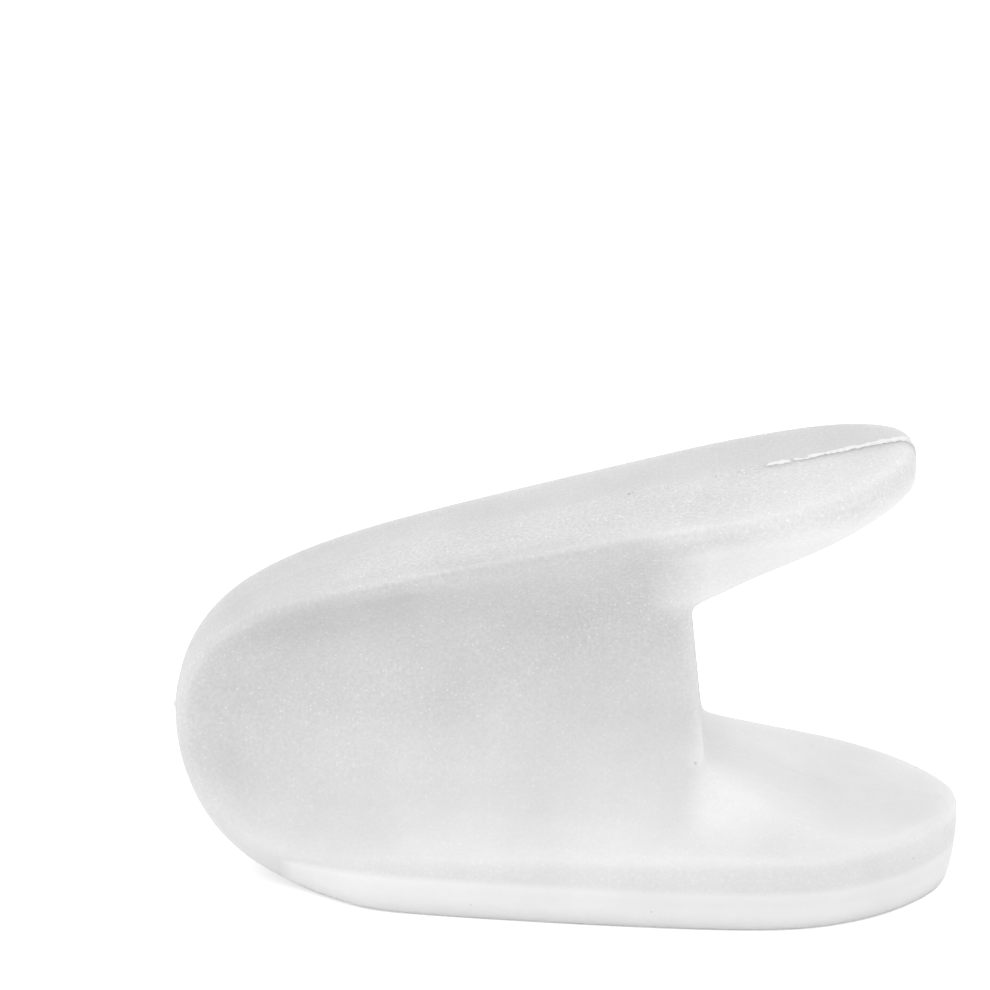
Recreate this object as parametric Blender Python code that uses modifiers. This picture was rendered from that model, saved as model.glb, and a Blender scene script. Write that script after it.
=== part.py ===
"""Toe separator: one soft moulded gel body, standing on its broad flange.

The body is an oval spool with its waist pinched to a web. A round cradle for a toe
runs along each side of the web, and a wedge notch at the open end parts the web into
a narrow upper flange and a broad lower flange. The two join in a rounded nose.

Axes: X from the nose to the open end, Y across, Z up. The form is symmetric about
the plane Y = 0, where the mould parted. Sizes are in metres, angles in radians.

The half on one side of the mid-plane is a coarse cage of stations. Each station is a
line of ten rows that starts on the outer face at the mid-plane, rounds the rim, dips
through the cradle and ends in the notch at the mid-plane. Mirror closes the cage and
Subdivision Surface smooths it. A point is (x, s, z), with s the distance from the
mid-plane, and a plan is the (x, s) of a face's mid-plane, support and edge points.
"""

import math

import bmesh
import bpy

# Overall
LENGTH = 0.0480
TOP_TIP_HEIGHT = 0.0284

# Broad lower flange, an egg in plan
LOWER_TIP_RADIUS = 0.0104
LOWER_HEEL_RADIUS = 0.0074
LOWER_HEEL_X = 0.0066
LOWER_SIDE_BOW = 0.0004
LOWER_TIP_THICKNESS = 0.0048
SOLE_HEIGHT = 0.0023
SOLE_UNDERCUT = 0.0002
TIP_UNDERCUT = 0.0004
CREST_INSET = 0.0007
CREST_LIFT = 0.0005
HEEL_CREST_HEIGHT = 0.0030

# Narrow upper flange, a longer and slimmer egg
UPPER_TIP_RADIUS = 0.0073
UPPER_TIP_X = 0.0450
UPPER_SIDE_TAPER = math.radians(5.3)
UPPER_TIP_THICKNESS = 0.0036
TOP_SLOPE = math.radians(11.6)
TOP_BOW = 0.0009
TOP_CROWN = 0.0005
LIP_THICKNESS = 0.0010

# Rounded nose where the flanges join
NOSE_RADIUS = 0.0093
NOSE_CENTRE_HEIGHT = 0.0104
NOSE_RISE = 0.0099
NOSE_DROP = 0.0101
NOSE_RIM = 0.0008
HEEL_RIM = 0.0020

# Toe cradles, one on each side of the web
CRADLE_RADIUS = 0.0126
WEB_AT_NOSE = 0.0032
WEB_AT_NOTCH = 0.0060
WAIST_HEIGHT_AT_NOSE = 0.0111
WAIST_HEIGHT_AT_NOTCH = 0.0154

# Wedge notch
NOTCH_BASE_X = 0.0319
NOTCH_LEAN = math.radians(5.7)
NOTCH_TOP_HEIGHT = 0.0184
NOTCH_FLOOR_HEIGHT = 0.0085
NOTCH_TOP_ANGLE = math.radians(28.8)
NOTCH_FLOOR_ANGLE = math.radians(21.5)
NOTCH_CORNER = 0.0011

# Draft of the faces that leave the mid-plane, and the tips: length over half width in
# plan, and how far their edges are pulled in
MOULD_DRAFT = math.radians(1.5)
TIP_STRETCH = 1.2
TIP_EDGE_PULL = 0.0004

# Sharpness of the edges, 0 round to 1 sharp
LIP_CREASE = 0.2
CREST_CREASE = 0.5
SOLE_CREASE = 0.5
NOTCH_CREASE = 0.6
PARTING_CREASE = 0.6

# Smoothing
EDGE_SUPPORT = 0.0013
SMOOTHING_LEVELS = 2
MERGE_DISTANCE = 0.00001

# Gel
GEL_COLOUR = (0.86, 0.86, 0.86, 1.0)
GEL_ROUGHNESS = 0.42
GEL_GLOW_DEPTH = 0.002

# Rows of a station, counted from the outer face
OUTER_EDGE = 2
CREST = 4
NOTCH_EDGE = 7
CRADLE_SHARES = (0.35, 0.7)

# Widest shares of a half width: how far in the support of an edge lies, and where a
# row at the notch, the nose or the heel stands between the mid-plane and the edge
SUPPORT_SHARE = 0.4
NOTCH_SUPPORT = 0.8
NOSE_SUPPORT = 0.6
HEEL_SUPPORT = 0.7

# Share of the cradle's radius that the web uses, and of the lower flange's thickness
# that lies below its crest at the tip
CRADLE_REACH = 0.97
CREST_SHARE = 0.6

# Stations round a flange's semicircular tip: turn from the side, how far the
# mid-plane point reaches, and where the edge's support lies
TIP_STEP = math.pi / 8
TIP_TURNS = ((1, 0.46, 0.85), (2, 0.84, 0.65), (3, 0.98, 0.5))

# Stations between the notch's corner and a tip: place of the rim and of the notch
UPPER_PLACES = ((0.62, 0.55), (0.0, 0.0))
LOWER_PLACES = ((0.42, 0.0), (1.0, 1.0))

# Stations of the web: where they meet the top face, the nose and the heel
TOP_PLACES = (0.58, 0.33, 0.06)
NOSE_TURNS = (138, 180, 222)
NOSE_STEP = math.radians(42)
NOSE_RIM_ROWS = ((0.25, 0.88), (0.7, 0.98), (1.0, 1.0))
HEEL_TURNS = (25, 60)
HEEL_STEP = math.radians(32)


def mix(a, b, share):
    """Number between a and b."""
    return a + (b - a) * share


def ring_growth(step):
    """How far out cage points lie so that the smoothed ring keeps its radius."""
    return 3 / (2 + math.cos(step))


def web_share(x):
    """Share of the way along the web, which ends at the notch."""
    return min(x / NOTCH_BASE_X, 1.0)


def web_half_thickness(x):
    """Half the thickness of the web at its waist."""
    return 0.5 * mix(WEB_AT_NOSE, WEB_AT_NOTCH, web_share(x))


def waist_height(x):
    """Height of the thinnest line of the web."""
    return mix(WAIST_HEIGHT_AT_NOSE, WAIST_HEIGHT_AT_NOTCH, web_share(x))


def cradle(x, z):
    """Distance of the cradle surface from the mid-plane."""
    offset = min(abs(z - waist_height(x)), CRADLE_REACH * CRADLE_RADIUS)
    depth = CRADLE_RADIUS - math.sqrt(CRADLE_RADIUS**2 - offset**2)
    return web_half_thickness(x) + depth


def cradle_height(x, s):
    """Height at which the lower side of the cradle is s away from the mid-plane."""
    depth = min(max(s - web_half_thickness(x), 0.0), CRADLE_RADIUS)
    return waist_height(x) - math.sqrt(CRADLE_RADIUS**2 - (CRADLE_RADIUS - depth)**2)


def top_height(x, s=0.0):
    """Height of the upper flange's outer face, which grows a crown towards the tip."""
    back = UPPER_TIP_X - x
    share = back / (UPPER_TIP_X - NOSE_RADIUS)
    ridge = TOP_TIP_HEIGHT - back * math.tan(TOP_SLOPE) - TOP_BOW * share**2
    crown = TOP_CROWN * max(1 - share, 0.0) * s / UPPER_TIP_RADIUS
    return ridge - crown - s * math.tan(MOULD_DRAFT)


def upper_half_width(x):
    """Half width of the upper flange behind its round tip."""
    behind = UPPER_TIP_X - UPPER_TIP_RADIUS - x
    return UPPER_TIP_RADIUS - behind * math.tan(UPPER_SIDE_TAPER)


def lower_half_width(x):
    """Half width of the lower flange between its round ends."""
    start = LOWER_HEEL_X + LOWER_HEEL_RADIUS
    end = LENGTH - LOWER_TIP_RADIUS
    share = (x - start) / (end - start)
    straight = mix(LOWER_HEEL_RADIUS, LOWER_TIP_RADIUS, share)
    return straight + LOWER_SIDE_BOW * 4 * share * (1 - share)


def notch_base_x(z):
    """Place of the notch's end wall, which leans with the body."""
    middle = 0.5 * (NOTCH_TOP_HEIGHT + NOTCH_FLOOR_HEIGHT)
    return NOTCH_BASE_X - (z - middle) * math.tan(NOTCH_LEAN)


def notch_top(x, s=0.0):
    """Height of the notch's upper face."""
    run = x - notch_base_x(NOTCH_TOP_HEIGHT)
    wedge = NOTCH_TOP_HEIGHT + run * math.tan(NOTCH_TOP_ANGLE)
    return min(wedge, top_height(x) - UPPER_TIP_THICKNESS) + s * math.tan(MOULD_DRAFT)


def notch_floor(x, s=0.0):
    """Height of the notch's lower face."""
    run = x - notch_base_x(NOTCH_FLOOR_HEIGHT)
    wedge = NOTCH_FLOOR_HEIGHT - run * math.tan(NOTCH_FLOOR_ANGLE)
    return max(wedge, LOWER_TIP_THICKNESS) - s * math.tan(MOULD_DRAFT)


def straight_plan(x, half_width):
    """Plan of a section at one x."""
    support = half_width - min(EDGE_SUPPORT, SUPPORT_SHARE * half_width)
    return [(x, 0.0), (x, support), (x, half_width)]


def tip_plan(centre_x, radius, turn, reach, support):
    """Plan of a section at an oval tip."""
    grown = radius * ring_growth(TIP_STEP)
    along = grown * TIP_STRETCH
    middle_x = centre_x + along * reach
    edge = (centre_x + along * math.sin(turn * TIP_STEP), grown * math.cos(turn * TIP_STEP))
    return [(middle_x, 0.0), (mix(middle_x, edge[0], support**2), support * edge[1]), edge]


def raised(plan, height):
    """Points of a plan at the heights that a face gives them."""
    return [(x, s, height(x, s)) for x, s in plan]


def notch_rows(plan, height):
    """Points of a notch face from its near edge to the mid-plane, inside the cradle."""
    x, s = plan[2]
    edge = (x, min(s, cradle(x, height(x))))
    support = (plan[1][0], min(plan[1][1], NOTCH_SUPPORT * edge[1]))
    return raised([edge, support, plan[0]], height)


def end_wall_rows(z):
    """Notch's end wall at one height, from its near edge to the mid-plane."""
    x = notch_base_x(z)
    return [(x, s, z) for x, s in reversed(straight_plan(x, cradle(x, z)))]


def down_cradle(start, end, widest):
    """Points from the rim down the cradle towards the notch."""
    points = []
    for share in CRADLE_SHARES:
        x = mix(start[0], end[0], share)
        z = mix(start[2], end[2], share)
        points.append((x, min(widest, cradle(x, z)), z))
    return points


def upper_section(plan, wall, inner):
    """Section of the upper flange: outer face, thin lip, cradle, notch."""
    outer = raised(plan, top_height)
    z = outer[-1][2]
    x, half_width = wall
    middle = (x, half_width, z - 0.5 * LIP_THICKNESS)
    lip = (x, half_width, z - LIP_THICKNESS)
    return outer + [middle, lip] + down_cradle(lip, inner[0], half_width) + inner


def lower_section(plan, wall, inner):
    """Section of the lower flange: flat sole, upright side, cradle, notch."""
    x, half_width = wall
    crest_width = half_width - CREST_INSET
    on_cradle = cradle_height(x, crest_width) + CREST_LIFT
    crest = (x, crest_width, min(on_cradle, mix(SOLE_HEIGHT, inner[0][2], CREST_SHARE)))
    sole = [(x_sole, s, 0.0) for x_sole, s in plan]
    side = (x, half_width, SOLE_HEIGHT)
    return sole + [side, crest] + down_cradle(crest, inner[0], crest_width) + inner


def nose_section(angle, rim, inner):
    """Section of the web from a point of the round nose."""
    growth = ring_growth(NOSE_STEP)
    drop = NOSE_RISE if math.sin(angle) > 0 else NOSE_DROP
    x = NOSE_RADIUS * (1 + growth * math.cos(angle))
    z = NOSE_CENTRE_HEIGHT + drop * growth * math.sin(angle)
    x_rim = x - rim * math.cos(angle)
    z_rim = z - rim * math.sin(angle)
    half_width = cradle(x_rim, z_rim)
    rows = [(x, 0.0, z), (x, NOSE_SUPPORT * half_width, z)]
    for share, width in NOSE_RIM_ROWS:
        rows.append((mix(x, x_rim, share), width * half_width, mix(z, z_rim, share)))
    return rows + down_cradle(rows[-1], inner[0], CRADLE_RADIUS) + inner


def heel_section(angle, inner):
    """Section where the nose runs out into the round heel of the sole."""
    grown = LOWER_HEEL_RADIUS * ring_growth(HEEL_STEP)
    x = LOWER_HEEL_X + LOWER_HEEL_RADIUS - grown * math.cos(angle)
    half_width = grown * math.sin(angle)
    crest_width = cradle(x, HEEL_CREST_HEIGHT)
    side = max(half_width + SOLE_UNDERCUT, mix(half_width, crest_width, HEEL_SUPPORT))
    crest = (x, crest_width, HEEL_CREST_HEIGHT + CREST_LIFT)
    sole = [(x, 0.0, 0.0), (x, HEEL_SUPPORT * half_width, 0.0), (x, half_width, 0.0)]
    return sole + [(x, side, SOLE_HEIGHT), crest] + down_cradle(crest, inner[0], CRADLE_RADIUS) + inner


def tip_stations(centre_x, radius, pull, section, height):
    """Stations round a tip, and the plan of the wall at the last one."""
    stations = []
    for turn in TIP_TURNS:
        outer = tip_plan(centre_x, radius - pull, *turn)
        wall = tip_plan(centre_x, radius, *turn)
        inner = notch_rows(tip_plan(centre_x, radius - 2 * TIP_EDGE_PULL, *turn), height)
        stations.append(section(outer, wall[2], inner))
    return stations, wall


def upper_stations(centre):
    """Stations of the upper flange between its tip and the notch's corner."""
    corner = notch_base_x(NOTCH_TOP_HEIGHT)
    stations = []
    for place, inner_place in UPPER_PLACES:
        x = mix(corner, centre, place)
        x_inner = mix(corner + NOTCH_CORNER, centre, inner_place)
        plan = straight_plan(x, upper_half_width(x))
        inner = notch_rows(straight_plan(x_inner, upper_half_width(x_inner)), notch_top)
        stations.append(upper_section(plan, plan[2], inner))
    return stations


def web_stations():
    """Stations that fan out from the notch's end wall over the top, nose and heel."""
    count = len(TOP_PLACES) + len(NOSE_TURNS) + len(HEEL_TURNS)
    step = (NOTCH_TOP_HEIGHT - NOTCH_FLOOR_HEIGHT) / count
    inner = [end_wall_rows(NOTCH_TOP_HEIGHT - place * step) for place in range(count + 1)]
    stations = []
    for place in TOP_PLACES:
        x = mix(NOSE_RADIUS, NOTCH_BASE_X, place)
        plan = straight_plan(x, upper_half_width(x))
        stations.append(upper_section(plan, plan[2], inner[len(stations)]))
    for turn in NOSE_TURNS:
        rim = HEEL_RIM if turn > 180 else NOSE_RIM
        stations.append(nose_section(math.radians(turn), rim, inner[len(stations)]))
    for turn in HEEL_TURNS:
        stations.append(heel_section(math.radians(turn), inner[len(stations)]))
    start = LOWER_HEEL_X + LOWER_HEEL_RADIUS
    half_width = LOWER_HEEL_RADIUS * ring_growth(HEEL_STEP)
    plan = straight_plan(start, half_width - SOLE_UNDERCUT)
    stations.append(lower_section(plan, (start, half_width), inner[-1]))
    return stations


def lower_stations(centre):
    """Stations of the lower flange between the notch's corner and its tip."""
    corner = notch_base_x(NOTCH_FLOOR_HEIGHT)
    stations = []
    for place, inner_place in LOWER_PLACES:
        x = mix(LOWER_HEEL_X + LOWER_HEEL_RADIUS, centre, place)
        x_inner = mix(corner + NOTCH_CORNER, centre, inner_place)
        half_width = lower_half_width(x) * ring_growth(TIP_STEP)
        plan = straight_plan(x, half_width - SOLE_UNDERCUT)
        inner = notch_rows(straight_plan(x_inner, lower_half_width(x_inner)), notch_floor)
        stations.append(lower_section(plan, (x, half_width), inner))
    return stations


def all_stations():
    """Stations from the upper tip round the nose to the lower tip, and both tip walls."""
    centre = UPPER_TIP_X - UPPER_TIP_RADIUS * TIP_STRETCH
    upper_tip, upper_wall = tip_stations(
        centre, UPPER_TIP_RADIUS, TIP_EDGE_PULL, upper_section, notch_top)
    stations = upper_tip[::-1] + upper_stations(centre) + web_stations()
    centre = LENGTH - LOWER_TIP_RADIUS * TIP_STRETCH
    lower_tip, lower_wall = tip_stations(
        centre, LOWER_TIP_RADIUS, TIP_UNDERCUT, lower_section, notch_floor)
    return stations + lower_stations(centre) + lower_tip, upper_wall, lower_wall


def add_grid(mesh, grid, turned):
    """Faces between neighbouring points of a grid of vertices."""
    for near, far in zip(grid, grid[1:]):
        for k in range(len(near) - 1):
            corners = [near[k], far[k], far[k + 1], near[k + 1]]
            mesh.faces.new(corners[::-1] if turned else corners)


def add_tip_cap(mesh, row, wall, turned):
    """Grid that closes the end of a flange between its edges and the mid-plane."""
    cap = [row[OUTER_EDGE::-1]]
    for vertex in row[OUTER_EDGE + 1:NOTCH_EDGE]:
        height = vertex.co.z
        points = [mesh.verts.new((x, -s, height)) for x, s in reversed(wall[:2])]
        cap.append([vertex] + points)
    cap.append(row[NOTCH_EDGE:])
    add_grid(mesh, cap, turned)
    return cap


def crease_line(mesh, layer, vertices, sharpness):
    """Set the sharpness of the edges along a line of vertices."""
    for near, far in zip(vertices, vertices[1:]):
        mesh.edges.get((near, far))[layer] = sharpness


def build_cage():
    """Half of the body's cage, open at the mid-plane."""
    stations, upper_wall, lower_wall = all_stations()
    mesh = bmesh.new()
    grid = [[mesh.verts.new((x, -s, z)) for x, s, z in station] for station in stations]
    add_grid(mesh, grid, False)
    add_tip_cap(mesh, grid[0], upper_wall, False)
    lower_cap = add_tip_cap(mesh, grid[-1], lower_wall, True)
    layer = mesh.edges.layers.float.new("crease_edge")
    web = grid[len(TIP_TURNS):-len(TIP_TURNS) - len(LOWER_PLACES)]
    sole = grid[-len(TIP_TURNS) - len(LOWER_PLACES) - len(HEEL_TURNS):]
    lip = grid[len(TIP_TURNS):-len(sole)]
    crease_line(mesh, layer, [row[OUTER_EDGE] for row in lip], LIP_CREASE)
    crease_line(mesh, layer, [row[OUTER_EDGE] for row in sole] + lower_cap[0][1:], SOLE_CREASE)
    crease_line(mesh, layer, [row[CREST] for row in sole] + lower_cap[2][1:], CREST_CREASE)
    crease_line(mesh, layer, [row[NOTCH_EDGE] for row in web], NOTCH_CREASE)
    crease_line(mesh, layer, [row[0] for row in grid[:-len(sole)]], PARTING_CREASE)
    data = bpy.data.meshes.new("separator_body")
    mesh.to_mesh(data)
    mesh.free()
    return data


def gel_material():
    """Milky translucent gel."""
    material = bpy.data.materials.new("gel")
    material.use_nodes = True
    shader = material.node_tree.nodes["Principled BSDF"]
    shader.inputs["Base Color"].default_value = GEL_COLOUR
    shader.inputs["Roughness"].default_value = GEL_ROUGHNESS
    shader.inputs["Metallic"].default_value = 0.0
    shader.inputs["Subsurface Weight"].default_value = 1.0
    shader.inputs["Subsurface Scale"].default_value = GEL_GLOW_DEPTH
    return material


def centre_on_x(body):
    """Move the body so that the middle of its length stands at X = 0."""
    shape = body.evaluated_get(bpy.context.evaluated_depsgraph_get())
    places = [vertex.co.x for vertex in shape.to_mesh().vertices]
    shape.to_mesh_clear()
    body.location.x = -0.5 * (min(places) + max(places))


def build_body(collection):
    """The gel body, smoothed from its mirrored cage."""
    body = bpy.data.objects.new("separator_body", build_cage())
    collection.objects.link(body)
    body.data.materials.append(gel_material())
    mirror = body.modifiers.new("Mirror", "MIRROR")
    mirror.use_axis = (False, True, False)
    mirror.use_clip = True
    mirror.merge_threshold = MERGE_DISTANCE
    smooth = body.modifiers.new("Smooth", "SUBSURF")
    smooth.levels = SMOOTHING_LEVELS
    smooth.render_levels = SMOOTHING_LEVELS
    for face in body.data.polygons:
        face.use_smooth = True
    centre_on_x(body)


def main():
    for thing in list(bpy.data.objects):
        bpy.data.objects.remove(thing, do_unlink=True)
    collection = bpy.data.collections.new("toe_separator")
    bpy.context.scene.collection.children.link(collection)
    build_body(collection)


main()
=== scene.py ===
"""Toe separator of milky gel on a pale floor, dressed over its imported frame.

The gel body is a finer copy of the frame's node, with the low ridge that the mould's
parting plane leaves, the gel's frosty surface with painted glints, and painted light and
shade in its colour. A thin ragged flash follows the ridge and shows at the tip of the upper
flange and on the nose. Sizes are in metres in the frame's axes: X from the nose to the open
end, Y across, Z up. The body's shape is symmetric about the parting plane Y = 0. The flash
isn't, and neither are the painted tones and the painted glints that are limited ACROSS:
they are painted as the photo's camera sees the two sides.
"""

import math

import bmesh
import bpy
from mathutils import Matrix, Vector, noise


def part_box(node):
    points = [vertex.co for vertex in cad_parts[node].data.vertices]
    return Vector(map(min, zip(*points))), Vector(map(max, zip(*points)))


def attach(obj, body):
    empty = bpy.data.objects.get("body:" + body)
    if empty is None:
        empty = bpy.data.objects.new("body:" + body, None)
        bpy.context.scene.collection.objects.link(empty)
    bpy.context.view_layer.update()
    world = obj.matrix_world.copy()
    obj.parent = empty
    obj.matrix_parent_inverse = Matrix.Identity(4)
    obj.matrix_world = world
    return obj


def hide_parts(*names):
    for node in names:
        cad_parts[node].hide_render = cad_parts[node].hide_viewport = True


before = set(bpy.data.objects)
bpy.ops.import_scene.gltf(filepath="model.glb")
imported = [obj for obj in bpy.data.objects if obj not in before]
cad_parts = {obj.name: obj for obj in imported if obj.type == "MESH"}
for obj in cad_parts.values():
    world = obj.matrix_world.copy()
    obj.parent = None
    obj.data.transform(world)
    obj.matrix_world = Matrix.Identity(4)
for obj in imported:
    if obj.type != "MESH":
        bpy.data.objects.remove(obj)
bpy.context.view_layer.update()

NODE = "separator_body"
HIGH_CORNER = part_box(NODE)[1]

# Refinement of the node's mesh
WELD_DISTANCE = 0.000001
QUAD_FACE_ANGLE = 0.35
QUAD_SHAPE_ANGLE = 1.2
SMOOTHING_LEVELS = 2

# Ridge along the parting plane
RIDGE_HALF_WIDTH = 0.00025
RIDGE_HEIGHT = 0.00004
RIDGE_LOOPS = (-1.0, -0.5, 0.0, 0.5, 1.0)

# Flash on the ridge, a strip whose foot is wider than its crown and sunk in the body
FLASH_STEP = 0.00006
FLASH_HALF_WIDTH = 0.00013
FLASH_SPREAD = 2.2
FLASH_SINK = 0.00008
FLASH_SHOULDER = 0.7

# Distance along the ridge from the tip, and height of the flash there, below zero if hidden
FLASH_HEIGHTS = (
    (0.0, -0.00008),
    (0.0007, 0.00001),
    (0.0013, 0.00010),
    (0.0034, 0.00010),
    (0.0044, 0.00004),
    (0.0060, 0.00006),
    (0.0072, 0.00001),
    (0.0086, 0.00004),
    (0.0105, -0.00001),
    (0.0130, -0.00008),
    (0.0500, -0.00010),
    (0.0530, 0.00002),
    (0.0590, 0.00005),
    (0.0640, 0.00000),
    (0.0700, -0.00010),
)
FLASH_RAGGEDNESS = 0.0001
FLASH_GRAIN = 0.00028
TEAR_LENGTH = 4
RAGGED_SHARE = 0.6
TORN_SHARE = 0.7
UNEVEN_SHARE = 0.5

# Rows of the noise that the flash's irregularities are read from
RAGGED_ROW = (0.3, 0.0)
TORN_ROW = (7.1, 0.0)
LEAN_ROW = (4.2, 1.0)
UNEVEN_ROW = (9.4, 2.0)

# Nub of flash on the nose, past a distance along the ridge
NUB_HEIGHT = 0.00016
NUB_HALF_LENGTH = 0.00022
NUB_Z = 0.0108
NUB_PAST = 0.04

# Pits in the skin, dented by the bump and darkened with painted shade: a point near each, its
# radius and how dark its painted shade is
PIT_CORE = 0.4
PITS = (
    ((0.0037, -0.0001, 0.0246), 0.00014, 0.3),
    ((0.0039, 0.0000, 0.0247), 0.00012, 0.25),
    ((0.0060, -0.0004, 0.0252), 0.00012, 0.2),
    ((0.0090, -0.0002, 0.0256), 0.00012, 0.25),
    ((0.0194, -0.0055, 0.0262), 0.00010, 0.15),
    ((0.0218, 0.0040, 0.0049), 0.00010, 0.2),
    ((0.0078, -0.0052, 0.0090), 0.00012, 0.25),
    ((0.0218, -0.0070, 0.0035), 0.00011, 0.2),
    ((0.0050, -0.0100, 0.0012), 0.00009, 0.15),
    ((-0.0060, -0.0090, 0.0010), 0.00009, 0.15),
    ((-0.0150, -0.0030, 0.0200), 0.00010, 0.15),
)

# Gel
GEL_COLOUR = 0.78
BRIGHTEST = 0.98
FLASH_COLOUR = 0.88
GEL_DEPTH = 0.002
GEL_ROUGHNESS = 0.42
GEL_IOR = 1.41
NOISE_RANGE = (0.3, 0.7)
CLOUD_SIZE = 0.006
CLOUD_DETAIL = 3.0
CLOUD_CONTRAST = 0.03
GRAIN_SIZE = 0.0002
GRAIN_DETAIL = 2.0
GRAIN_CONTRAST = 0.04
# Painted glints: bright specks in the colour that stand for light glinting off the frosty skin
GLINT_SIZE = 0.00026
GLINT_BRIGHTNESS = 0.2
GLINT_CHOICE = (0.3, 1.0)
GLINT_EDGE = (0.1, 0.3)
SKIN_BUMP = 0.00003
SKIN_BUMP_STRENGTH = 0.4

# Directions that a place is measured along; the rises are square to the top, the nose's lip
# and the crest at the heel
ALONG = (1.0, 0.0, 0.0)
ACROSS = (0.0, 1.0, 0.0)
UPWARD = (0.0, 0.0, 1.0)
TOP_SLOPE = math.radians(11.6)
RISE = (-math.sin(TOP_SLOPE), 0.0, math.cos(TOP_SLOPE))
NOSE_SLOPE = math.radians(15.6)
NOSE_RISE = (-math.sin(NOSE_SLOPE), 0.0, math.cos(NOSE_SLOPE))
CREST_RISE = (-0.045, 0.0, 1.0)

# Places on the body: a direction, and where along it the place sets in and is full
ON_TOP = (RISE, 0.0217, 0.0224)
PAST_NOTCH = (ALONG, 0.0045, 0.0085)
UNDER_LIP = (RISE, 0.0220, 0.0207)
OVER_NOTCH = (RISE, 0.0158, 0.0172)
ON_SOLE = (UPWARD, 0.0027, 0.0023)
OVER_SOLE = (UPWARD, 0.0024, 0.0028)
UNDER_CREST = (UPWARD, 0.0043, 0.0039)
UNDER_HEEL_CREST = (CREST_RISE, 0.0039, 0.0035)
OVER_CREST = (UPWARD, 0.0037, 0.0043)
PAST_HEEL = (ALONG, -0.0176, -0.0168)
NEAR_NOSE = (ALONG, -0.0060, -0.0100)
AFTER_NOSE = (ALONG, -0.0100, -0.0060)

# Places made of several limits
BAND = (OVER_SOLE, UNDER_CREST, UNDER_HEEL_CREST, (ALONG, -0.0175, -0.0140))
WEB = (
    (UPWARD, 0.0060, 0.0082),
    (UPWARD, 0.0180, 0.0115),
    (ALONG, -0.0205, -0.0150),
    (ALONG, 0.0080, 0.0062),
)
WEB_TOP = (
    (RISE, 0.0170, 0.0195),
    (RISE, 0.0217, 0.0212),
    (ALONG, -0.006, -0.002),
    (ALONG, 0.0045, 0.001),
)
LIP = (
    (RISE, 0.0217, 0.0225),
    (RISE, 0.02308, 0.02285),
    (ACROSS, -0.0035, -0.0050),
    AFTER_NOSE,
    (ALONG, 0.0070, 0.0040),
)
NOSE_LIP = (
    (NOSE_RISE, 0.0220, 0.0226),
    (NOSE_RISE, 0.02325, 0.0230),
    (ACROSS, -0.0028, -0.0040),
    NEAR_NOSE,
)
TONGUE = (
    (UPWARD, 0.0048, 0.0062),
    (UPWARD, 0.0120, 0.0095),
    (ALONG, 0.0065, 0.0085),
    (ALONG, 0.020, 0.012),
)
NOTCH_FOOT = (
    (UPWARD, 0.0050, 0.0064),
    (UPWARD, 0.0100, 0.0085),
    (ALONG, 0.0072, 0.0082),
    (ALONG, 0.013, 0.0095),
)
SPARKLING_TOP = (
    ON_TOP,
    (ALONG, -0.018, -0.010),
    (ALONG, 0.016, 0.011),
    (ACROSS, 0.0008, -0.0004),
    (ACROSS, -0.0062, -0.0040),
)

# Light and shade painted into the gel's colour: a change of tone, and the limits of the place
# that has it. They were set until the render's levels came near the photo's, so under
# other light they stay as they are here.
TONE = 1.03
TONES = (
    (-0.14, (UPWARD, 0.0055, 0.0115)),
    (-0.03, (RISE, 0.016, 0.020)),
    (-0.05, (RISE, 0.0185, 0.0203), (RISE, 0.0219, 0.0213), NEAR_NOSE),
    (-0.04, (RISE, 0.0205, 0.0214), (RISE, 0.0227, 0.0220), NEAR_NOSE),
    (0.065, *WEB),
    (-0.045, (UPWARD, 0.0105, 0.0075), (UPWARD, 0.0030, 0.0045), (ALONG, -0.008, -0.013)),
    (0.02, *WEB_TOP),
    (-0.12, *LIP),
    (-0.075, *NOSE_LIP),
    (0.06, ON_TOP, (ALONG, -0.006, 0.012), (ACROSS, 0.001, -0.001)),
    (0.045, (RISE, 0.0226, 0.0231), (ALONG, 0.012, 0.016), (ACROSS, -0.0005, -0.0015)),
    (-0.04, ON_TOP, (ACROSS, -0.001, 0.002)),
    (0.28, PAST_NOTCH, UNDER_LIP, OVER_NOTCH),
    (0.13, (ALONG, 0.005, 0.011), (RISE, 0.0228, 0.0218), (RISE, 0.0207, 0.0220)),
    (0.06, PAST_HEEL, ON_SOLE),
    (0.08, PAST_HEEL, ON_SOLE, (ALONG, 0.008, -0.010)),
    (0.14, PAST_HEEL, (UPWARD, 0.0018, 0.0004)),
    (-0.02, *BAND),
    (-0.025, OVER_SOLE, UNDER_CREST, (ALONG, 0.004, 0.010)),
    (0.07, (ALONG, 0.0185, 0.0215), (UPWARD, 0.0046, 0.0042)),
    (0.02, OVER_CREST, (UPWARD, 0.0075, 0.0050), (ALONG, -0.017, -0.013), (ALONG, 0.010, 0.004)),
    (0.07, *TONGUE),
    (0.06, *NOTCH_FOOT),
    (-0.05, (UPWARD, 0.0090, 0.0060), (ALONG, 0.012, 0.020)),
)

# Share of the frosty grain and of the painted glints on the skin, in the same way
GRAIN_AND_GLINT_SHARE = 0.35
GRAIN_AND_GLINT_SHARES = (
    (0.65, (RISE, 0.007, 0.015)),
    (0.3, (RISE, 0.013, 0.017), (RISE, 0.0225, 0.0215), (ALONG, -0.004, 0.004)),
    (-0.8, PAST_NOTCH, UNDER_LIP, OVER_NOTCH),
    (-0.25, ON_SOLE),
    (0.15, *BAND),
    (0.7, *SPARKLING_TOP),
)

# Camera at the photo's angle
CAMERA_ELEVATION = math.radians(21.8)
CAMERA_DISTANCE = 0.42
CAMERA_LENS = 252.4
CAMERA_TARGET = (-0.00441, 0.0, 0.0245)

# Light and floor
WORLD_LIGHT = 0.92
SUN_LIGHT = 0.49
SUN_ANGLE = math.radians(60)
SUN_TILT = (math.radians(8), math.radians(-8), 0.0)
FLOOR_SIZE = 6.0
FLOOR_COLOUR = 0.93
FLOOR_GLOW = 0.4


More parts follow.
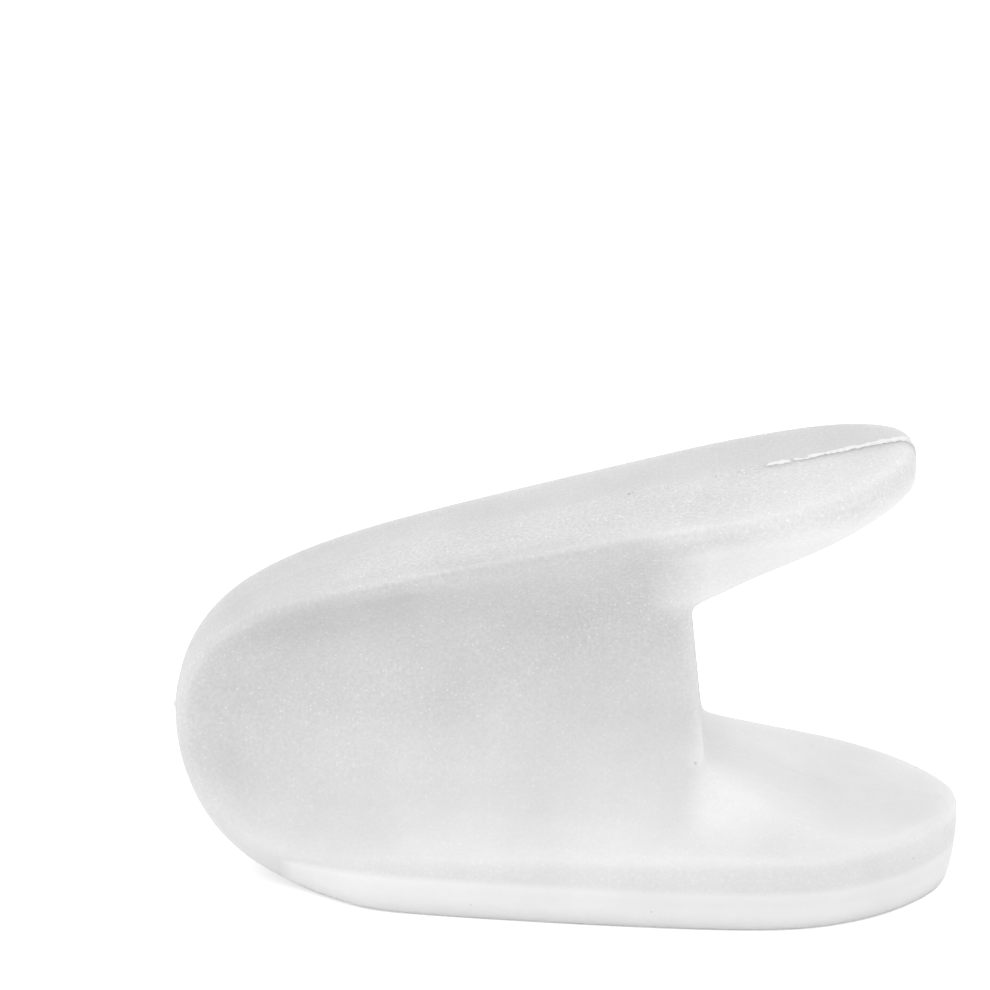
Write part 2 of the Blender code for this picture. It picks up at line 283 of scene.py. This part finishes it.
def grey(value):
    """Neutral colour of one strength."""
    return (value, value, value, 1.0)


def add_mesh(mesh, name):
    """Object made from a bmesh, shaded smooth."""
    data = bpy.data.meshes.new(name)
    mesh.to_mesh(data)
    mesh.free()
    for face in data.polygons:
        face.use_smooth = True
    piece = bpy.data.objects.new(name, data)
    bpy.context.scene.collection.objects.link(piece)
    return piece


def smoothed(mesh, levels):
    """The bmesh smoothed by subdivision."""
    piece = add_mesh(mesh, "draft")
    smooth = piece.modifiers.new("Smooth", "SUBSURF")
    smooth.levels = levels
    smooth.render_levels = levels
    shape = piece.evaluated_get(bpy.context.evaluated_depsgraph_get())
    finer = bmesh.new()
    finer.from_mesh(shape.to_mesh())
    shape.to_mesh_clear()
    bpy.data.objects.remove(piece, do_unlink=True)
    return finer


def refined_node():
    """The frame's node as quads, smoothed further, with loops beside the parting plane."""
    mesh = bmesh.new()
    mesh.from_mesh(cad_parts[NODE].data)
    bmesh.ops.remove_doubles(mesh, verts=mesh.verts, dist=WELD_DISTANCE)
    bmesh.ops.join_triangles(
        mesh,
        faces=mesh.faces,
        angle_face_threshold=QUAD_FACE_ANGLE,
        angle_shape_threshold=QUAD_SHAPE_ANGLE,
    )
    mesh = smoothed(mesh, SMOOTHING_LEVELS)
    for place in RIDGE_LOOPS:
        bmesh.ops.bisect_plane(
            mesh,
            geom=mesh.verts[:] + mesh.edges[:] + mesh.faces[:],
            plane_co=(0, place * RIDGE_HALF_WIDTH, 0),
            plane_no=(0, 1, 0),
            dist=WELD_DISTANCE,
        )
    return mesh


def raise_ridge(mesh):
    """Lift the surface along the parting plane into a low ridge."""
    mesh.normal_update()
    for vertex in mesh.verts:
        away = abs(vertex.co.y) / RIDGE_HALF_WIDTH
        if away < 1 and vertex.co.z > RIDGE_HALF_WIDTH:
            along = Vector((vertex.normal.x, 0.0, vertex.normal.z)).normalized()
            vertex.co += along * RIDGE_HEIGHT * (1 - away)


def parting_line(mesh):
    """Points of the parting plane's outer edge, from the upper tip round to the sole."""
    on_plane = {v for v in mesh.verts if abs(v.co.y) < WELD_DISTANCE}
    upper = [v for v in on_plane if v.co.z > 0.5 * HIGH_CORNER[2]]
    point = max(upper, key=lambda v: v.co.x)
    line = [point]
    while point.co.z > RIDGE_HALF_WIDTH:
        beside = [e.other_vert(point) for e in point.link_edges]
        beside = [v for v in beside if v in on_plane and v not in line[-2:]]
        point = max(beside, key=lambda v: v.co.z) if len(line) == 1 else beside[0]
        line.append(point)
    return [v.co.copy() for v in line]


def even_steps(line, step):
    """Points at even steps along a line."""
    points = [line[0]]
    left = step
    for near, far in zip(line, line[1:]):
        length = (far - near).length
        done = left
        while done <= length:
            points.append(near.lerp(far, done / length))
            done += step
        left = done - length
    return points


def flash_height(distance, z):
    """Height of the flash at a distance along the ridge from the tip."""
    height = FLASH_HEIGHTS[-1][1]
    for (start, low), (end, high) in zip(FLASH_HEIGHTS, FLASH_HEIGHTS[1:]):
        if start <= distance < end:
            height = low + (high - low) * (distance - start) / (end - start)
    ragged = noise.noise(Vector((distance / FLASH_GRAIN, *RAGGED_ROW)))
    torn = noise.noise(Vector((distance / FLASH_GRAIN / TEAR_LENGTH, *TORN_ROW)))
    nub = 0.0
    if distance > NUB_PAST:
        nub = NUB_HEIGHT * math.exp(-((z - NUB_Z) / NUB_HALF_LENGTH)**2)
    return height + FLASH_RAGGEDNESS * (RAGGED_SHARE * ragged + TORN_SHARE * torn) + nub


def build_flash(line):
    """Thin ragged fin of gel that squeezed out between the mould halves."""
    points = even_steps(line, FLASH_STEP)
    mesh = bmesh.new()
    rows = []
    for index in range(1, len(points) - 1):
        along = (points[index + 1] - points[index - 1]).normalized()
        outward = Vector((along.z, 0.0, -along.x))
        distance = index * FLASH_STEP
        height = flash_height(distance, points[index].z)
        lean = FLASH_HALF_WIDTH * noise.noise(Vector((distance / FLASH_GRAIN, *LEAN_ROW)))
        uneven = noise.noise(Vector((distance / FLASH_GRAIN, *UNEVEN_ROW)))
        half_width = FLASH_HALF_WIDTH * (1 + UNEVEN_SHARE * uneven)
        profile = (
            (-FLASH_SPREAD * half_width, -FLASH_SINK),
            (-half_width + lean, FLASH_SHOULDER * height),
            (lean, height),
            (half_width + lean, FLASH_SHOULDER * height),
            (FLASH_SPREAD * half_width, -FLASH_SINK),
        )
        row = [points[index] + Vector((0.0, y, 0.0)) + outward * up for y, up in profile]
        rows.append([mesh.verts.new(place) for place in row])
    for near, far in zip(rows, rows[1:]):
        for k in range(len(near) - 1):
            mesh.faces.new((near[k], near[k + 1], far[k + 1], far[k]))
    bmesh.ops.recalc_face_normals(mesh, faces=mesh.faces)
    flash = add_mesh(mesh, "parting_flash")
    for face in flash.data.polygons:
        face.use_smooth = False
    return flash


class Shading:
    """Node graph of one Principled material, built step by step."""

    def __init__(self, name):
        self.material = bpy.data.materials.new(name)
        self.material.use_nodes = True
        self.nodes = self.material.node_tree.nodes
        self.links = self.material.node_tree.links
        self.shader = self.nodes["Principled BSDF"]
        self.place = self.nodes.new("ShaderNodeTexCoord").outputs["Object"]

    def join(self, source, socket):
        """Set a socket to a number, or link it to another socket."""
        if isinstance(source, (int, float)):
            socket.default_value = source
        else:
            self.links.new(source, socket)

    def noise_texture(self, size, detail):
        """Procedural noise whose features are about one size."""
        node = self.nodes.new("ShaderNodeTexNoise")
        node.inputs["Scale"].default_value = 1 / size
        node.inputs["Detail"].default_value = detail
        self.links.new(self.place, node.inputs["Vector"])
        return node.outputs["Fac"]

    def ramp(self, source, low, high, start, end):
        """Number that goes from start to end while the source goes from low to high."""
        node = self.nodes.new("ShaderNodeMapRange")
        names = ("From Min", "From Max", "To Min", "To Max")
        for name, value in zip(names, (low, high, start, end)):
            node.inputs[name].default_value = value
        self.links.new(source, node.inputs["Value"])
        return node.outputs["Result"]

    def work(self, operation, first, second):
        """Result of a math operation on two numbers."""
        node = self.nodes.new("ShaderNodeMath")
        node.operation = operation
        self.join(first, node.inputs[0])
        self.join(second, node.inputs[1])
        return node.outputs["Value"]

    def painted_glints(self, size, strength):
        """Painted glints: fine bright specks in the colour, one in each cell of a size, most of
        them faint.
        """
        node = self.nodes.new("ShaderNodeTexVoronoi")
        node.inputs["Scale"].default_value = 1 / size
        self.links.new(self.place, node.inputs["Vector"])
        split = self.nodes.new("ShaderNodeSeparateColor")
        self.links.new(node.outputs["Color"], split.inputs["Color"])
        chosen = self.ramp(split.outputs["Red"], *GLINT_CHOICE, 0.0, strength)
        inside = self.ramp(node.outputs["Distance"], *GLINT_EDGE, 1.0, 0.0)
        return self.work("MULTIPLY", chosen, inside)

    def reach(self, direction, start, end):
        """Number that goes from 0 to 1 between two places along a direction."""
        node = self.nodes.new("ShaderNodeVectorMath")
        node.operation = "DOT_PRODUCT"
        self.links.new(self.place, node.inputs[0])
        node.inputs[1].default_value = direction
        return self.ramp(node.outputs["Value"], start, end, 0.0, 1.0)

    def total(self, value, terms):
        """Sum of a number and of terms that each set in at their places."""
        for strength, *reaches in terms:
            part = strength
            for reach in reaches:
                part = self.work("MULTIPLY", part, self.reach(*reach))
            value = self.work("ADD", value, part)
        return value

    def spot(self, centre, radius, strength):
        """Number that fades from strength at a point to zero at a radius from it."""
        node = self.nodes.new("ShaderNodeVectorMath")
        node.operation = "DISTANCE"
        self.links.new(self.place, node.inputs[0])
        node.inputs[1].default_value = centre
        return self.ramp(node.outputs["Value"], PIT_CORE * radius, radius, strength, 0.0)

    def colour(self, value):
        """Paint the shader with a neutral colour of that strength."""
        node = self.nodes.new("ShaderNodeCombineColor")
        for channel in ("Red", "Green", "Blue"):
            self.join(value, node.inputs[channel])
        self.links.new(node.outputs["Color"], self.shader.inputs["Base Color"])

    def bump(self, height, distance, strength):
        """Roughen the shader's surface."""
        node = self.nodes.new("ShaderNodeBump")
        node.inputs["Strength"].default_value = strength
        node.inputs["Distance"].default_value = distance
        self.links.new(height, node.inputs["Height"])
        self.links.new(node.outputs["Normal"], self.shader.inputs["Normal"])

    def gel(self, depth):
        """Set the numbers that make the shader a soft translucent gel."""
        for name, value in (
            ("Roughness", GEL_ROUGHNESS),
            ("IOR", GEL_IOR),
            ("Subsurface Weight", 1.0),
            ("Subsurface Radius", (1.0, 1.0, 1.0)),
            ("Subsurface Scale", depth),
        ):
            self.shader.inputs[name].default_value = value


def gel_material(body):
    """Milky gel with its painted light and shade, and a frosty, pitted skin with painted glints
    and painted shade in the pits.
    """
    shading = Shading("gel")
    cloud = shading.noise_texture(CLOUD_SIZE, CLOUD_DETAIL)
    grain = shading.noise_texture(GRAIN_SIZE, GRAIN_DETAIL)
    darkest, lightest = GEL_COLOUR - CLOUD_CONTRAST, GEL_COLOUR + CLOUD_CONTRAST
    milky = shading.ramp(cloud, *NOISE_RANGE, darkest, lightest)
    grainy = shading.ramp(grain, *NOISE_RANGE, -GRAIN_CONTRAST, GRAIN_CONTRAST)
    # Painted glints: bright specks added to the colour for light glinting off the frosty skin
    bright = shading.painted_glints(GLINT_SIZE, GLINT_BRIGHTNESS)
    frost_and_glints = shading.work("ADD", grainy, bright)
    skin = shading.work("MULTIPLY", frost_and_glints, shading.total(GRAIN_AND_GLINT_SHARE, GRAIN_AND_GLINT_SHARES))
    value = shading.work("ADD", milky, skin)
    value = shading.work("MULTIPLY", value, shading.total(TONE, TONES))
    value = shading.work("MINIMUM", value, BRIGHTEST)
    # Painted shade in the pits, taken off the colour; the same spots are dented into the bump
    dark = 0.0
    for near, radius, strength in PITS:
        centre = body.closest_point_on_mesh(near)[1]
        dark = shading.work("MAXIMUM", dark, shading.spot(centre, radius, strength))
    shading.colour(shading.work("MULTIPLY", value, shading.work("SUBTRACT", 1.0, dark)))
    shading.bump(shading.work("SUBTRACT", grain, dark), SKIN_BUMP, SKIN_BUMP_STRENGTH)
    shading.gel(GEL_DEPTH)
    return shading.material


def flash_material():
    """Whiter gel of the torn flash."""
    shading = Shading("flash")
    grain = shading.noise_texture(GRAIN_SIZE, GRAIN_DETAIL)
    shading.colour(shading.ramp(grain, *NOISE_RANGE, FLASH_COLOUR - GRAIN_CONTRAST, FLASH_COLOUR))
    shading.shader.inputs["Roughness"].default_value = GEL_ROUGHNESS
    return shading.material


def floor_material():
    """Plain floor that keeps the shadow and shows white to the camera."""
    shading = Shading("floor")
    shading.shader.inputs["Base Color"].default_value = grey(FLOOR_COLOUR)
    shading.shader.inputs["Roughness"].default_value = 1.0
    shading.shader.inputs["Specular IOR Level"].default_value = 0.0
    shading.shader.inputs["Emission Color"].default_value = grey(1.0)
    seen = shading.nodes.new("ShaderNodeLightPath").outputs["Is Camera Ray"]
    glow = shading.work("MULTIPLY", seen, FLOOR_GLOW)
    shading.join(glow, shading.shader.inputs["Emission Strength"])
    return shading.material


def dress(piece, material):
    """Give a piece its material and tie it to the frame."""
    piece.data.materials.append(material)
    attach(piece, "root")


def build_object():
    """The gel body with its ridge, and the flash that stands on it."""
    mesh = refined_node()
    raise_ridge(mesh)
    line = parting_line(mesh)
    body = add_mesh(mesh, "gel_body")
    dress(body, gel_material(body))
    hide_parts(NODE)
    dress(build_flash(line), flash_material())


def build_stage():
    """Floor, light and camera."""
    bpy.ops.mesh.primitive_plane_add(size=FLOOR_SIZE)
    floor = bpy.context.object
    floor.name = "floor"
    floor.data.materials.append(floor_material())
    world = bpy.data.worlds.new("studio")
    bpy.context.scene.world = world
    world.use_nodes = True
    background = world.node_tree.nodes["Background"]
    background.inputs["Color"].default_value = grey(1.0)
    background.inputs["Strength"].default_value = WORLD_LIGHT
    sun = bpy.data.lights.new("sun", "SUN")
    sun.energy = SUN_LIGHT
    sun.angle = SUN_ANGLE
    lamp = bpy.data.objects.new("sun", sun)
    lamp.rotation_euler = SUN_TILT
    bpy.context.scene.collection.objects.link(lamp)
    camera = bpy.data.objects.new("camera", bpy.data.cameras.new("camera"))
    bpy.context.scene.collection.objects.link(camera)
    towards = Vector((0.0, math.cos(CAMERA_ELEVATION), -math.sin(CAMERA_ELEVATION)))
    camera.location = Vector(CAMERA_TARGET) - towards * CAMERA_DISTANCE
    camera.rotation_euler = towards.to_track_quat("-Z", "Y").to_euler()
    camera.data.lens = CAMERA_LENS
    bpy.context.scene.camera = camera
    bpy.context.scene.view_settings.view_transform = "Standard"


build_object()
build_stage()
